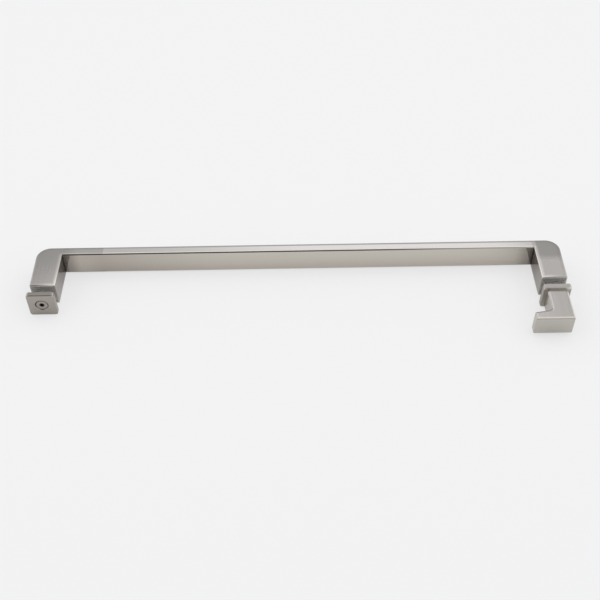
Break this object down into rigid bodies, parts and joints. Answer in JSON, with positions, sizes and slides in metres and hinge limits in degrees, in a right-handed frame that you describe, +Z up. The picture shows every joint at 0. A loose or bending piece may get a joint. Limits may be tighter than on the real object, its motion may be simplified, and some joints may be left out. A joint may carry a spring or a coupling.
{
  "type": "glass door pull handle",
  "caption": "Flat-bar U-shaped pull handle for a frameless glass door, clamped through the glass by square back plates, with an L-shaped finger pull on the far side.",
  "frame": {"origin": "on the glass face that the leg gaskets seat on, midway between the fixing axes", "axes": "+X along the bar towards the finger pull, -Y through the glass from the bar to the back plates, +Z up with the handle lying flat"},
  "size_m": [0.527, 0.105, 0.027],
  "materials": {
    "satin_steel": "satin polished stainless steel",
    "screw_steel": "plain stainless steel",
    "clear_plastic": "clear soft plastic"
  },
  "bodies": {
    "root": {"handle_bar": "satin_steel", "left_leg_gasket": "clear_plastic", "left_sleeve": "clear_plastic", "left_plate_gasket": "clear_plastic", "left_back_plate": "satin_steel", "left_screw": "screw_steel", "right_leg_gasket": "clear_plastic", "right_sleeve": "clear_plastic", "right_plate_gasket": "clear_plastic", "right_back_plate": "satin_steel", "right_stud": "screw_steel", "finger_pull": "satin_steel", "pull_grub_screw": "screw_steel"}
  },
  "joints": []
}
